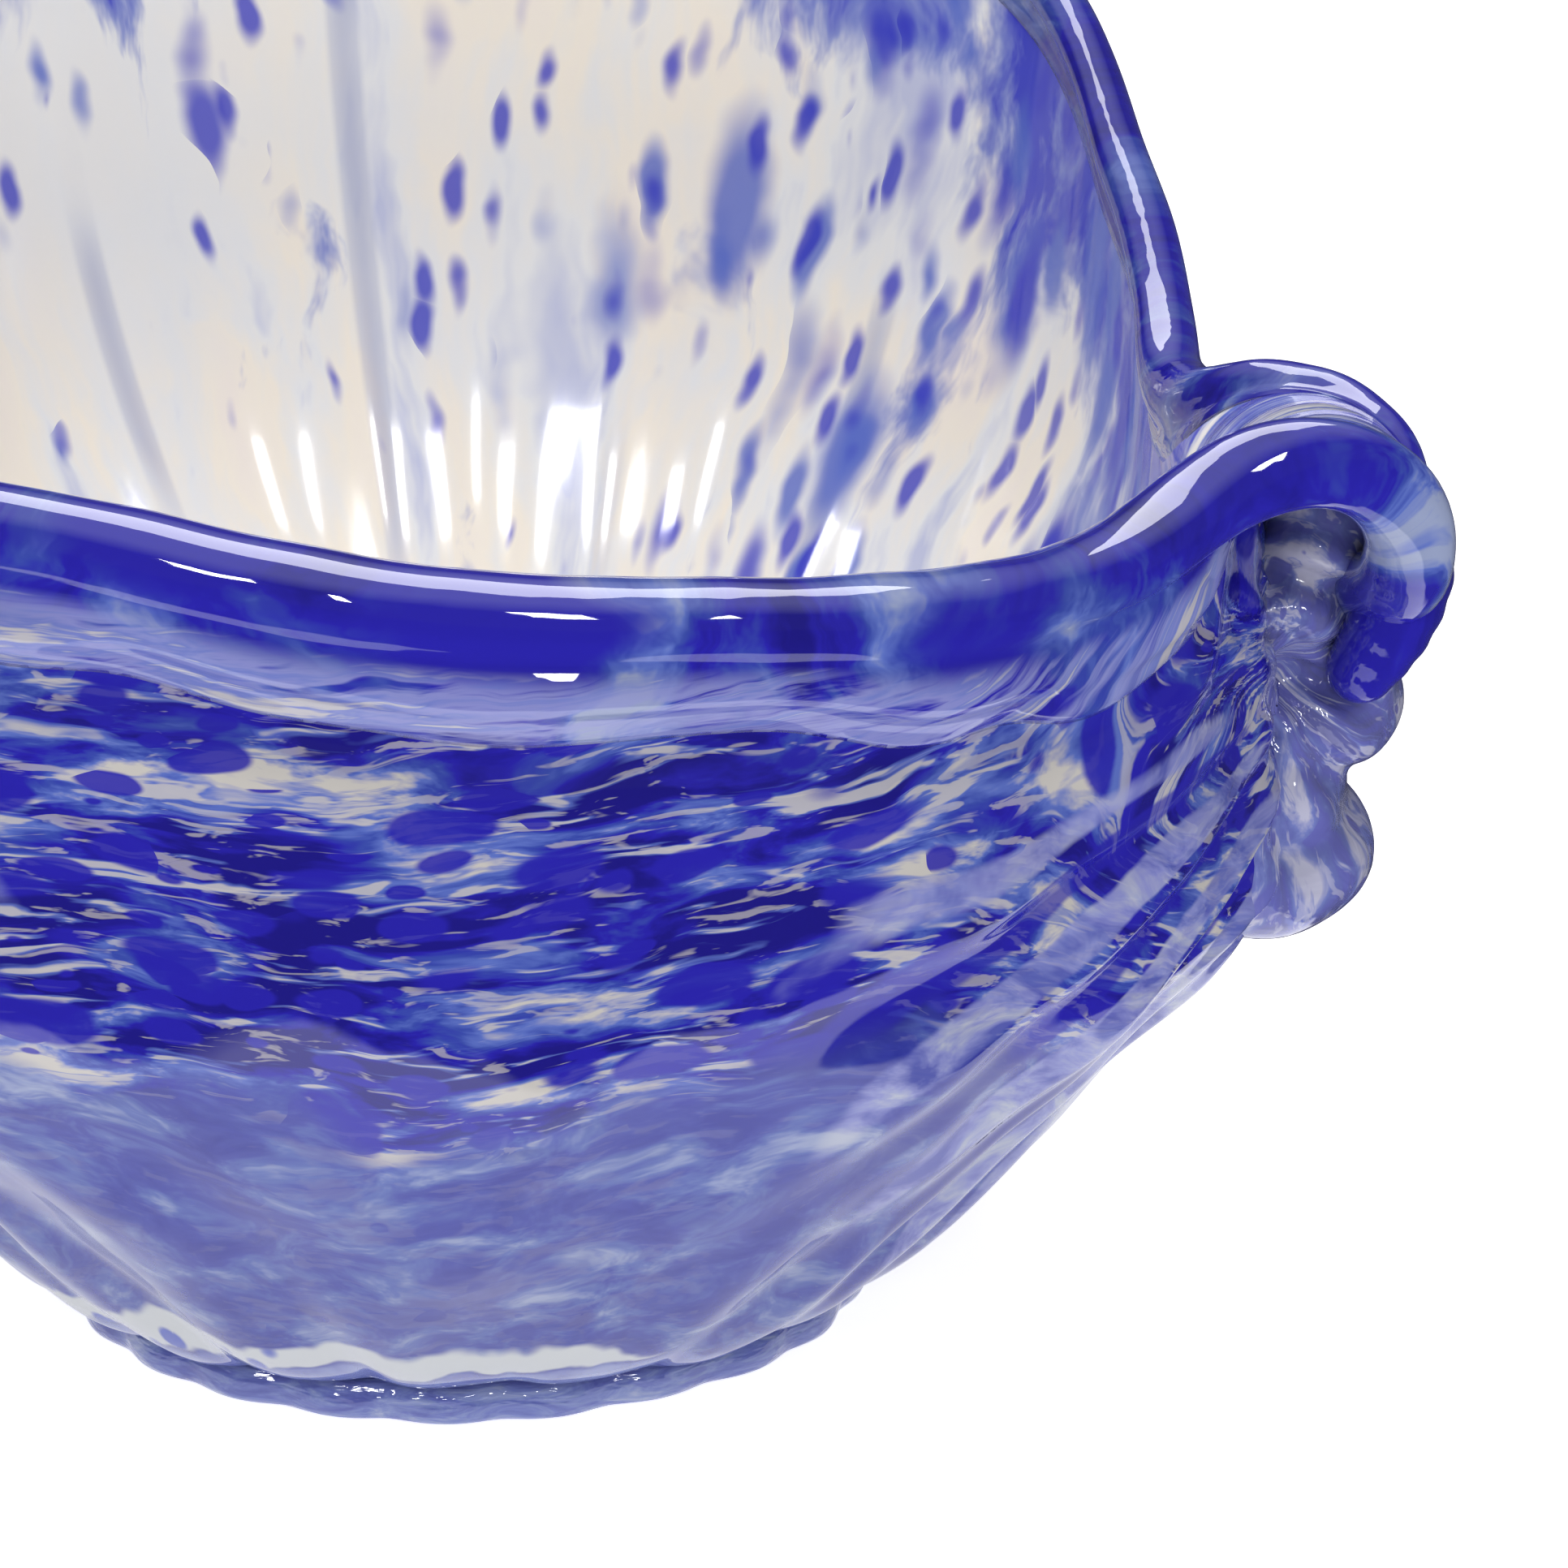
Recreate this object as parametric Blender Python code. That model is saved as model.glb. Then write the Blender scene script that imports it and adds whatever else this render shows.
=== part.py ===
"""Fluted shell-shaped art glass bowl, free blown and cased.

The wall is two layers of glass: a pearly lining inside and a cobalt casing outside.
A lip wrap runs round the rim, two ears are folded out at the sides with a crimped
bit applied under each, and a foot pad carries the bowl on its flat underside.
The wall is one family of profile lines, one for every plan angle, that all the
layers are measured from, so they stay nested when a size is changed.
"""
from math import pi

import bmesh
import bpy
import numpy as np

# ---------- the wall: lengths are measured along the glass from the middle of the floor ----------
FLOOR_LENGTH = 0.0545      # flat floor before the wall starts to lift
LIFT_LENGTH = 0.028        # length of the bend out of the floor
FRONT_LENGTH = 0.2060      # floor centre to rim at the front lip
BACK_LENGTH = 0.2900       # floor centre to rim at the tall back
EAR_LENGTH = 0.2110        # floor centre to where the ear starts to fold
SWELL_LENGTH = 0.0240      # how much the left of the front lip was pulled up
SWELL_AT = -2.36           # plan angle of that swell, radians
FRONT_HEADING = 57.0       # lean of the lower wall above level, degrees
BACK_HEADING = 61.0
EAR_HEADING = 48.5
FRONT_TOP_HEADING = 84.0   # lean of the wall just under the rim, degrees
BACK_TOP_HEADING = 82.0
EAR_TOP_HEADING = 98.0
CASING_THICKNESS = 0.0030
LINING_THICKNESS = 0.0024
LAYER_GAP = 0.0005         # clearance kept between neighbouring pieces

# ---------- flutes ----------
FLUTE_COUNT = 24
STATIONS_PER_FLUTE = 4
FLUTE_DEPTH_LOW = 0.0009   # half depth where the wall leaves the floor
FLUTE_DEPTH_MID = 0.0022
FLUTE_DEPTH_RIM = 0.0012
FLUTE_GATHER = 0.30        # how far the flutes crowd towards the ears, radians
SCALLOP_HEIGHT = 0.0016    # rise of the back rim over each flute

# ---------- ears ----------
EAR_ANGLES = (-0.15, pi + 0.15)
EAR_WIDTH = 0.31           # half width of the fold in plan, radians
EAR_SPREAD = 0.52          # half width of the pull on the wall below it, radians
EAR_TURN = (248.0, 226.0)  # how far each ear is rolled outwards, degrees
EAR_ROLL = 0.054           # length of glass in the roll
EAR_FRONT_LIFT = 0.0050    # the front flank of an ear stands higher
EAR_BACK_DROP = 0.0080     # and the back flank dips behind it

# ---------- lip wrap, ear bits and foot ----------
WRAP_RADIUS_FRONT = 0.0066
WRAP_RADIUS_BACK = 0.0050
WRAP_ARC_POINTS = 9
SLOT_GAP = 0.0013          # clearance of the wrap's slot either side of the wall
SLOT_ROOF = 0.0024         # clearance over the edge of the wall
BIT_STATIONS = 9.5         # half width of an ear bit, in stations of the wall
BIT_SHIFT = -1.0           # how far it sits forward of the side, in stations
BIT_COLUMNS = 17
BIT_EDGE = 0.0010
BIT_GAP = 0.0008
BIT_FROM = 0.30            # share of the lower of the two wall rows it leaves bare
BIT_LOBE_HEIGHT = (0.0105, 0.0140)
BIT_STEPS = 7              # rings of the bit on each row of the wall under it
PAD_THICKNESS = 0.0055
PAD_FLARE = 0.0015
PAD_REST_RADIUS = 0.0590
PAD_LOBE_DEPTH = 0.0013

# ---------- how finely the glass is drawn ----------
STATIONS = FLUTE_COUNT * STATIONS_PER_FLUTE
FLOOR_PARTS = (0.0, 0.45, 0.86)
WALL_ROWS = 6
TOP_ROWS = 6
PROFILE_SAMPLES = 220
FLOOR_MID_HEIGHT = PAD_THICKNESS + LAYER_GAP + CASING_THICKNESS
WALL_START = FLOOR_LENGTH + 0.009
TOP_ZONE = 0.018            # stretch under the rim that gets its own close rings


# ---------- small helpers ----------
def smooth(value, low, high):
    """0 below low, 1 above high, an even S between them."""
    part = np.clip((value - low) / (high - low), 0.0, 1.0)
    return part * part * (3.0 - 2.0 * part)


def bell(angle, centre, width, power=2.0):
    """A hump of height 1 round the bowl at a plan angle."""
    away = (angle - centre + pi) % (2.0 * pi) - pi
    return np.exp(-np.abs(away / width) ** power)


def blend(first, second, weight):
    return first * (1.0 - weight) + second * weight


# ---------- the family of wall profiles ----------
def back_weight(angle):
    return smooth(np.sin(angle), 0.10, 1.0) ** 1.25


def roll_length(angle):
    """Extra glass rolled outwards into the two ears."""
    folds = [bell(angle, centre, EAR_WIDTH, 2.4) for centre in EAR_ANGLES]
    return EAR_ROLL * (folds[0] + folds[1])


def upright_length(angle):
    """Length of the wall from floor centre to rim, or to where an ear starts to fold."""
    spread = sum(bell(angle, centre, EAR_SPREAD) for centre in EAR_ANGLES)
    plain = blend(FRONT_LENGTH, BACK_LENGTH, back_weight(angle))
    plain = plain + SWELL_LENGTH * bell(angle, SWELL_AT, 0.62)
    length = blend(plain, EAR_LENGTH, np.clip(spread, 0.0, 1.0))
    for centre, front in zip(EAR_ANGLES, (-1.0, 1.0)):
        length = length + EAR_FRONT_LIFT * bell(angle, centre + 0.26 * front, 0.22)
        length = length - EAR_BACK_DROP * bell(angle, centre - 0.36 * front, 0.26)
    return length


def headings(angle, along):
    """Lean of the wall, degrees above level, at a length along the profile."""
    spread = np.clip(sum(bell(angle, centre, 0.80) for centre in EAR_ANGLES), 0.0, 1.0)
    back = back_weight(angle)
    lower = blend(blend(FRONT_HEADING, BACK_HEADING, back), EAR_HEADING, spread)
    under = np.clip(sum(bell(angle, centre, 0.42) for centre in EAR_ANGLES), 0.0, 1.0)
    upper = blend(blend(FRONT_TOP_HEADING, BACK_TOP_HEADING, back), EAR_TOP_HEADING, under)
    upright = upright_length(angle)
    bend_from = upright * blend(0.42, 0.64, spread)
    bend_to = upright * blend(0.82, 0.84, spread)
    lean = lower * smooth(along, FLOOR_LENGTH, FLOOR_LENGTH + LIFT_LENGTH)
    lean = lean + (upper - lower) * smooth(along, bend_from, bend_to)
    roll = roll_length(angle)
    turn = sum(t * bell(angle, c, EAR_WIDTH, 2.4) for t, c in zip(EAR_TURN, EAR_ANGLES))
    return lean - turn * np.clip((along - upright + 0.003) / (roll + 0.003), 0.0, 1.0)


def wall(angle, along):
    """Middle of the wall and its outward normal, for arrays of plan angle and length."""
    angle, along = np.broadcast_arrays(np.asarray(angle, float), np.asarray(along, float))
    shape = angle.shape
    angle, along = angle.reshape(-1, 1), along.reshape(-1, 1)
    steps = along * np.linspace(0.0, 1.0, PROFILE_SAMPLES)[None, :]
    lean = np.radians(headings(angle, steps))
    middle = 0.5 * (lean[:, 1:] + lean[:, :-1])
    step = np.diff(steps, axis=1)
    radius = np.sum(np.cos(middle) * step, axis=1)
    height = FLOOR_MID_HEIGHT + np.sum(np.sin(middle) * step, axis=1)
    end = lean[:, -1]
    cos_a, sin_a = np.cos(angle[:, 0]), np.sin(angle[:, 0])
    point = np.stack([radius * cos_a, radius * sin_a, height], axis=-1)
    normal = np.stack([np.sin(end) * cos_a, np.sin(end) * sin_a, -np.cos(end)], axis=-1)
    return point.reshape(shape + (3,)), normal.reshape(shape + (3,))


def flute_wave(turn):
    """Round lobes with sharper valleys between them, -1 to 1 over each flute."""
    return 2.0 * np.sqrt(0.985 * np.cos(FLUTE_COUNT * pi * turn) ** 2 + 0.015) - 1.0


def flute_depth(angle, share):
    """Half depth of the flutes at a share of the wall's length, gone in the ears and floor."""
    depth = np.interp(share, [0.0, 0.14, 0.30, 0.85, 1.0],
                      [0.0, 0.0, FLUTE_DEPTH_MID * 0.6, FLUTE_DEPTH_MID, FLUTE_DEPTH_RIM])
    depth = np.where(share < 0.30, FLUTE_DEPTH_LOW * smooth(share, 0.17, 0.24)
                     + (FLUTE_DEPTH_MID - FLUTE_DEPTH_LOW) * smooth(share, 0.22, 0.45), depth)
    ear = np.clip(sum(bell(angle, centre, 0.50, 3.0) for centre in EAR_ANGLES), 0.0, 1.0)
    return depth * (1.0 - ear * smooth(share, 0.30, 0.52))


def plan_angle(turn, share):
    """Plan angle of a flute line, crowding towards the ears as it climbs."""
    return 2.0 * pi * turn - FLUTE_GATHER * smooth(share, 0.22, 0.92) * np.sin(4.0 * pi * turn)


def total_length(angle, turn):
    scallop = SCALLOP_HEIGHT * flute_wave(turn) * back_weight(angle)
    return upright_length(angle) + roll_length(angle) + scallop


def ring_lengths(turn):
    """Lengths along the glass of every ring at a station: floor, wall, top and wrapped edge."""
    rim_angle = plan_angle(turn, 1.0)
    full = total_length(rim_angle, turn)
    slot = 0.80 * wrap_radius(rim_angle)
    zone = TOP_ZONE + roll_length(rim_angle)
    steps = (np.arange(WALL_ROWS) / WALL_ROWS) ** 1.35
    rows = [FLOOR_LENGTH * part for part in FLOOR_PARTS]
    rows += list(blend(WALL_START, full - zone, steps))
    rows += list(np.linspace(full - zone, full - slot, TOP_ROWS + 1))
    return np.array(rows + [full]), full


def rising(index):
    """Whether the rim climbs from one station to the next."""
    here, after = index / STATIONS, (index + 1) / STATIONS
    return total_length(plan_angle(after, 1.0), after) > total_length(plan_angle(here, 1.0), here)


def wrap_radius(angle):
    return blend(WRAP_RADIUS_FRONT, WRAP_RADIUS_BACK, smooth(np.sin(angle), -0.2, 0.8))


def sheet(offset):
    """Grid of points one offset away from the middle of the wall, stations by rings."""
    columns = []
    for index in range(STATIONS):
        turn = index / STATIONS
        along, full = ring_lengths(turn)
        share = along / full
        angle = plan_angle(turn, share)
        point, normal = wall(angle, along)
        flute = flute_wave(turn) * flute_depth(angle, share)
        columns.append(point + normal * (flute + offset)[:, None])
    return np.array(columns)


# ---------- turning grids into closed solids ----------
def solid(name, faces_points, colour, roughness):
    """Make one closed smooth-shaded body from (points, faces)."""
    points, faces = faces_points
    mesh = bpy.data.meshes.new(name)
    mesh.from_pydata([tuple(point) for point in points], [], faces)
    obj = bpy.data.objects.new(name, mesh)
    bpy.context.scene.collection.objects.link(obj)
    work = bmesh.new()
    work.from_mesh(mesh)
    bmesh.ops.triangulate(work, faces=work.faces[:])
    bmesh.ops.recalc_face_normals(work, faces=work.faces[:])
    work.to_mesh(mesh)
    work.free()
    mesh.polygons.foreach_set("use_smooth", [True] * len(mesh.polygons))
    mesh.materials.append(glass(name, colour, roughness))
    return obj


def glass(name, colour, roughness):
    material = bpy.data.materials.new(name)
    material.use_nodes = True
    shader = material.node_tree.nodes["Principled BSDF"]
    shader.inputs["Base Color"].default_value = colour
    shader.inputs["Roughness"].default_value = roughness
    return material


def tube_faces(first, second, count, other_way=()):
    """Triangles between two closed rings of the same count, split one way or the other."""
    faces = []
    for index in range(count):
        after = (index + 1) % count
        near, far = (first + index, first + after), (second + index, second + after)
        if index in other_way:
            faces += [(near[0], near[1], far[0]), (near[1], far[1], far[0])]
        else:
            faces += [(near[0], near[1], far[1]), (near[0], far[1], far[0])]
    return faces


def fan_faces(pole, ring, count):
    return [(pole, ring + index, ring + (index + 1) % count) for index in range(count)]


def shell(outside, inside):
    """Close two cup-shaped grids, each starting at a pole, over their rims."""
    points, faces, starts = [], [], []
    climbs = [index for index in range(STATIONS) if rising(index)]
    for grid in (outside, inside):
        pole = len(points)
        points.append(grid[0, 0])
        rings = []
        for ring in range(1, grid.shape[1]):
            rings.append(len(points))
            points.extend(grid[:, ring])
        faces += fan_faces(pole, rings[0], STATIONS)
        for first, second in zip(rings, rings[1:]):
            faces += tube_faces(first, second, STATIONS, climbs)
        starts.append(rings[-1])
    faces += tube_faces(starts[0], starts[1], STATIONS)
    return points, faces


# ---------- the pieces ----------
def make_casing():
    outside = sheet(CASING_THICKNESS)
    inside = sheet(0.5 * LAYER_GAP)
    return solid("outer_casing", shell(outside, inside), (0.03, 0.03, 0.42, 1.0), 0.06)


def make_lining():
    outside = sheet(-0.5 * LAYER_GAP)
    inside = sheet(-LINING_THICKNESS)
    return solid("inner_lining", shell(outside, inside), (0.70, 0.66, 0.62, 1.0), 0.08)


def rim_frame(turn):
    """The wrapped edge at one station: low and end points of the wall with their normals."""
    along, full = ring_lengths(turn)
    share = along[-2:] / full
    angle = plan_angle(turn, share)
    point, normal = wall(angle, along[-2:])
    point = point + normal * (flute_wave(turn) * flute_depth(angle, share))[:, None]
    return point, normal, wrap_radius(plan_angle(turn, 1.0))


def wrap_section(turn):
    """Cross-section of the lip wrap: a slot over the wall's edge inside a round cord."""
    (low, end), (low_normal, end_normal), radius = rim_frame(turn)
    up = (end - low) / np.linalg.norm(end - low)
    out = end_normal - up * np.dot(end_normal, up)
    out = out / np.linalg.norm(out)
    wide_out = CASING_THICKNESS + SLOT_GAP
    wide_in = LINING_THICKNESS + SLOT_GAP
    slot = [low - low_normal * wide_in, end - end_normal * wide_in + up * SLOT_ROOF,
            end + end_normal * wide_out + up * SLOT_ROOF, low + low_normal * wide_out]
    middle = low + up * 0.82 * radius + out * 0.5 * (wide_out - wide_in)
    start = slot[3] - middle
    stop = slot[0] - middle
    from_angle = np.arctan2(np.dot(start, up), np.dot(start, out))
    to_angle = np.arctan2(np.dot(stop, up), np.dot(stop, out)) + 2.0 * pi
    sweep = np.linspace(from_angle, to_angle, WRAP_ARC_POINTS + 2)[1:-1]
    ripple = 1.0 + 0.05 * np.sin(14.0 * pi * turn + 0.8) + 0.03 * np.sin(38.0 * pi * turn)
    arc = [middle + radius * ripple * (np.cos(q) * out + np.sin(q) * up) for q in sweep]
    return slot + arc


def make_lip_wrap():
    sections = [wrap_section(index / STATIONS) for index in range(STATIONS)]
    size = len(sections[0])
    going_up = [0] + list(range(3, 3 + WRAP_ARC_POINTS // 2))
    going_down = [2] + list(range(3 + WRAP_ARC_POINTS // 2, size))
    points = [corner for section in sections for corner in section]
    faces = []
    for index in range(STATIONS):
        after = (index + 1) % STATIONS
        split = going_up if rising(index) else going_down
        faces += tube_faces(index * size, after * size, size, split)
    return solid("lip_wrap", (points, faces), (0.02, 0.01, 0.30, 1.0), 0.05)


def lobe_height(across, up):
    """Thickness of an ear bit: two crimped lobes over a thin skirt."""
    height = 0.0
    for place, tall in zip((0.24, 0.66), BIT_LOBE_HEIGHT):
        height = height + tall * bell(up, place, 0.15, 2.6) * bell(across, 0.0, 0.42, 2.4)
    return BIT_EDGE + 0.0016 * (1.0 - across ** 2) + height


def ring_at(ring, places):
    """Points at fractional stations of one ring, straight between its corners."""
    lower = np.floor(places).astype(int)
    part = (places - lower)[:, None]
    return blend(ring[lower % STATIONS], ring[(lower + 1) % STATIONS], part)


def ear_bit(side, name):
    """A bit of glass laid on the casing under one ear, following the rows of the wall."""
    skin = sheet(CASING_THICKNESS + BIT_GAP)
    first = len(FLOOR_PARTS) + WALL_ROWS - 2
    centre = STATIONS / 2 * side + BIT_SHIFT * (1 - 2 * side)
    across = np.linspace(-1.0, 1.0, BIT_COLUMNS)
    rows = np.concatenate([np.linspace(BIT_FROM, 1.0, BIT_STEPS), np.linspace(1.0, 2.0, BIT_STEPS)[1:]])
    heights = (rows - BIT_FROM) / (2.0 - BIT_FROM)
    base = []
    for place, height in zip(rows, heights):
        row = min(int(place), 1)
        part = place - row
        half = BIT_STATIONS * np.sqrt(1.0 - (abs(height - 0.45) / 0.62) ** 2.4)
        places = centre + half * across
        low, high = skin[:, first + row], skin[:, first + row + 1]
        base.append(blend(ring_at(low, places), ring_at(high, places), part))
    base = np.array(base)
    outward = base * np.array([1.0, 1.0, 0.0])
    outward = outward / np.linalg.norm(outward, axis=2, keepdims=True)
    tall = lobe_height(across[None, :], heights[:, None]) * np.ones(base.shape[:2])
    cover = base + (outward + np.array([0.0, 0.0, -0.30])) * tall[:, :, None]
    return solid(name, patch(base, cover), (0.20, 0.18, 0.62, 1.0), 0.06)


def patch(base, cover):
    """Close two matching rectangular grids round their edges."""
    rows, columns = base.shape[:2]
    points = list(base.reshape(-1, 3)) + list(cover.reshape(-1, 3))
    lift = rows * columns
    faces = []
    for row in range(rows - 1):
        for column in range(columns - 1):
            corner = row * columns + column
            loop = (corner, corner + 1, corner + columns + 1, corner + columns)
            faces.append(loop[::-1])
            faces.append(tuple(index + lift for index in loop))
    edge = [column for column in range(columns)]
    edge += [row * columns + columns - 1 for row in range(1, rows)]
    edge += [(rows - 1) * columns + column for column in range(columns - 2, -1, -1)]
    edge += [row * columns for row in range(rows - 2, 0, -1)]
    for first, second in zip(edge, edge[1:] + edge[:1]):
        faces.append((first, second, second + lift, first + lift))
    return points, faces


def make_foot_pad():
    """Lobed disc of glass under the body with a flat ground base at height zero."""
    skin = sheet(CASING_THICKNESS + LAYER_GAP)
    turns = np.arange(STATIONS) / STATIONS
    lobes = PAD_LOBE_DEPTH * flute_wave(turns)
    rings = [skin[:, ring] for ring in (1, 2, 3)]
    edge = rings[-1]
    radius = np.linalg.norm(edge[:, :2], axis=1)
    way = edge * np.array([1.0, 1.0, 0.0]) / radius[:, None]
    side = way * (radius + PAD_FLARE + lobes)[:, None]
    side = side + np.array([0.0, 0.0, 0.45]) * edge[:, 2:3] * np.ones((1, 3))
    rest = way * (PAD_REST_RADIUS + lobes)[:, None]
    rings += [side, rest]
    points = [skin[0, 0]]
    faces = []
    for ring in rings:
        points.extend(ring)
    faces += fan_faces(0, 1, STATIONS)
    climbs = [index for index in range(STATIONS) if rising(index)]
    for ring in range(len(rings) - 1):
        faces += tube_faces(1 + ring * STATIONS, 1 + (ring + 1) * STATIONS, STATIONS, climbs)
    points.append(np.zeros(3))
    faces += fan_faces(len(points) - 1, 1 + (len(rings) - 1) * STATIONS, STATIONS)
    return solid("foot_pad", (points, faces), (0.36, 0.42, 0.72, 1.0), 0.06)


for old in list(bpy.data.objects):
    bpy.data.objects.remove(old, do_unlink=True)

make_lining()
make_casing()
make_lip_wrap()
ear_bit(0, "right_ear_bit")
ear_bit(1, "left_ear_bit")
make_foot_pad()
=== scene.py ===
# %% [markdown]
# # A blown art glass bowl, cased and fluted
#
# The bowl is one mass of hot-worked glass: a pearly lining inside, a mottled cobalt casing
# outside, a cord of cobalt wrapped round the rim, a crimped bit pressed on under each
# folded-out ear, and a pale foot pad. The imported CAD part is the fixed frame. Each of its six
# nodes is replaced here by a finer piece of the same size in the same place.

# %% Load the frame
from math import pi

import bpy
import numpy as np
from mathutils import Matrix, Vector
from mathutils.bvhtree import BVHTree


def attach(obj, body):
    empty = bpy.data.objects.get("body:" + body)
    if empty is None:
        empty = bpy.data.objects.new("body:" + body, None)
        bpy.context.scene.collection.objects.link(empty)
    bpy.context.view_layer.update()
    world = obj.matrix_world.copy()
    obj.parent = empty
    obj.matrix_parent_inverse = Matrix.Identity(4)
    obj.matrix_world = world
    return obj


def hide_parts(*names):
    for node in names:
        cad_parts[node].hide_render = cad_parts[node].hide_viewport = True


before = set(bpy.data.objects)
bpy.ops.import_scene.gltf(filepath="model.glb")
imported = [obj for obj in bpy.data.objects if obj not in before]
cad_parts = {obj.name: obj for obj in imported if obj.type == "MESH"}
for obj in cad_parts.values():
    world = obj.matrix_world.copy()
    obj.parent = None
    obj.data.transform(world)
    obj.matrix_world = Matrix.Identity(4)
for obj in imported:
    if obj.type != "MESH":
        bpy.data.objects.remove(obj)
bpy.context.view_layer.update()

# %% [markdown]
# ## The family of wall lines
#
# A blown wall has no straight part to build on. Every layer of it follows one line that runs
# from the middle of the floor up to the rim, and that line changes slowly round the bowl:
# steep at the front and back, leaning out at the sides, and rolled over outwards at the two
# ears. It could be sculpted from a primitive, but then the layers would not nest. So the line
# is written once, as a lean for each length along the glass, and all the layers use it.

# %% Sizes of the wall, in metres, radians and degrees
FLOOR_LENGTH = 0.0545
LIFT_LENGTH = 0.028
FRONT_LENGTH, BACK_LENGTH, EAR_LENGTH = 0.2060, 0.2900, 0.2110
SWELL_LENGTH, SWELL_AT = 0.0240, -2.36
FRONT_HEADING, BACK_HEADING, EAR_HEADING = 57.0, 61.0, 48.5
FRONT_TOP, BACK_TOP, EAR_TOP = 84.0, 82.0, 98.0
CASING_THICKNESS, LINING_THICKNESS = 0.0030, 0.0024
FLOOR_MID_HEIGHT = 0.0090
FLUTES = 24
GATHER = 0.30
SCALLOP = 0.0016
EARS = (-0.15, pi + 0.15)
EAR_WIDTH, EAR_SPREAD, EAR_ROLL = 0.31, 0.52, 0.054
EAR_TURN = (248.0, 226.0)


def smooth(value, low, high):
    """0 below low, 1 above high, an even S between them."""
    part = np.clip((value - low) / (high - low), 0.0, 1.0)
    return part * part * (3.0 - 2.0 * part)


def bell(angle, centre, width, power=2.0):
    """A hump of height 1 round the bowl at a plan angle."""
    away = (angle - centre + pi) % (2.0 * pi) - pi
    return np.exp(-np.abs(away / width) ** power)


def at_ears(angle, width, power=2.0):
    return np.clip(sum(bell(angle, centre, width, power) for centre in EARS), 0.0, 1.0)


def blend(first, second, weight):
    return first * (1.0 - weight) + second * weight


print("wall line sizes set for", FLUTES, "flutes")


# %% The wall line and its normal
def back_weight(angle):
    return smooth(np.sin(angle), 0.10, 1.0) ** 1.25


def roll_length(angle):
    return EAR_ROLL * sum(bell(angle, centre, EAR_WIDTH, 2.4) for centre in EARS)


def upright_length(angle):
    """Length of glass from the floor's middle to the rim, or to where an ear starts to roll."""
    plain = blend(FRONT_LENGTH, BACK_LENGTH, back_weight(angle))
    plain = plain + SWELL_LENGTH * bell(angle, SWELL_AT, 0.62)
    length = blend(plain, EAR_LENGTH, at_ears(angle, EAR_SPREAD))
    for centre, front in zip(EARS, (-1.0, 1.0)):
        length = length + 0.0050 * bell(angle, centre + 0.26 * front, 0.22)
        length = length - 0.0080 * bell(angle, centre - 0.36 * front, 0.26)
    return length


def lean(angle, along):
    """Degrees above level at a length along the wall."""
    spread, under, back = at_ears(angle, 0.80), at_ears(angle, 0.42), back_weight(angle)
    lower = blend(blend(FRONT_HEADING, BACK_HEADING, back), EAR_HEADING, spread)
    upper = blend(blend(FRONT_TOP, BACK_TOP, back), EAR_TOP, under)
    upright = upright_length(angle)
    bend_from, bend_to = upright * blend(0.42, 0.64, spread), upright * blend(0.82, 0.84, spread)
    degrees = lower * smooth(along, FLOOR_LENGTH, FLOOR_LENGTH + LIFT_LENGTH)
    degrees = degrees + (upper - lower) * smooth(along, bend_from, bend_to)
    roll = roll_length(angle)
    turn = sum(t * bell(angle, c, EAR_WIDTH, 2.4) for t, c in zip(EAR_TURN, EARS))
    return degrees - turn * np.clip((along - upright + 0.003) / (roll + 0.003), 0.0, 1.0)


def wall(angle, along, samples=160):
    """Middle of the wall, its outward normal and its upward direction."""
    steps = along[:, None] * np.linspace(0.0, 1.0, samples)[None, :]
    degrees = np.radians(lean(angle[:, None], steps))
    middle = 0.5 * (degrees[:, 1:] + degrees[:, :-1])
    step = np.diff(steps, axis=1)
    radius = np.sum(np.cos(middle) * step, axis=1)
    height = FLOOR_MID_HEIGHT + np.sum(np.sin(middle) * step, axis=1)
    end, cos_a, sin_a = degrees[:, -1], np.cos(angle), np.sin(angle)
    point = np.stack([radius * cos_a, radius * sin_a, height], axis=-1)
    normal = np.stack([np.sin(end) * cos_a, np.sin(end) * sin_a, -np.cos(end)], axis=-1)
    upward = np.stack([np.cos(end) * cos_a, np.cos(end) * sin_a, np.sin(end)], axis=-1)
    return point, normal, upward


check, _, _ = wall(np.array([-pi / 2, pi / 2]), np.array([FRONT_LENGTH, BACK_LENGTH]))
print("front rim height, mm:", round(1000 * check[0, 2], 1), " back:", round(1000 * check[1, 2], 1))


# %% [markdown]
# ## Flutes and ripples
#
# The gather was pressed in an optic mould, which leaves round lobes with sharper valleys, and
# the flutes then crowd towards the ears where the rim was pulled out. Swinging and reheating
# leave slow ripples over them, a soft fold just under the rim wrap, and creases that fan out
# below each ear where the hot glass was pinched. A displace modifier could add noise, but it
# knows nothing of the flutes, so each of these is a small height added along the normal.

# %% Heights that are added to the wall
VALLEY_ROUND, FLUTE_LEVEL = 0.09, 1.17


def flute_wave(turn):
    across = np.cos(FLUTES * pi * turn) ** 2
    return 2.0 * np.sqrt((1.0 - VALLEY_ROUND) * across + VALLEY_ROUND) - FLUTE_LEVEL


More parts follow.
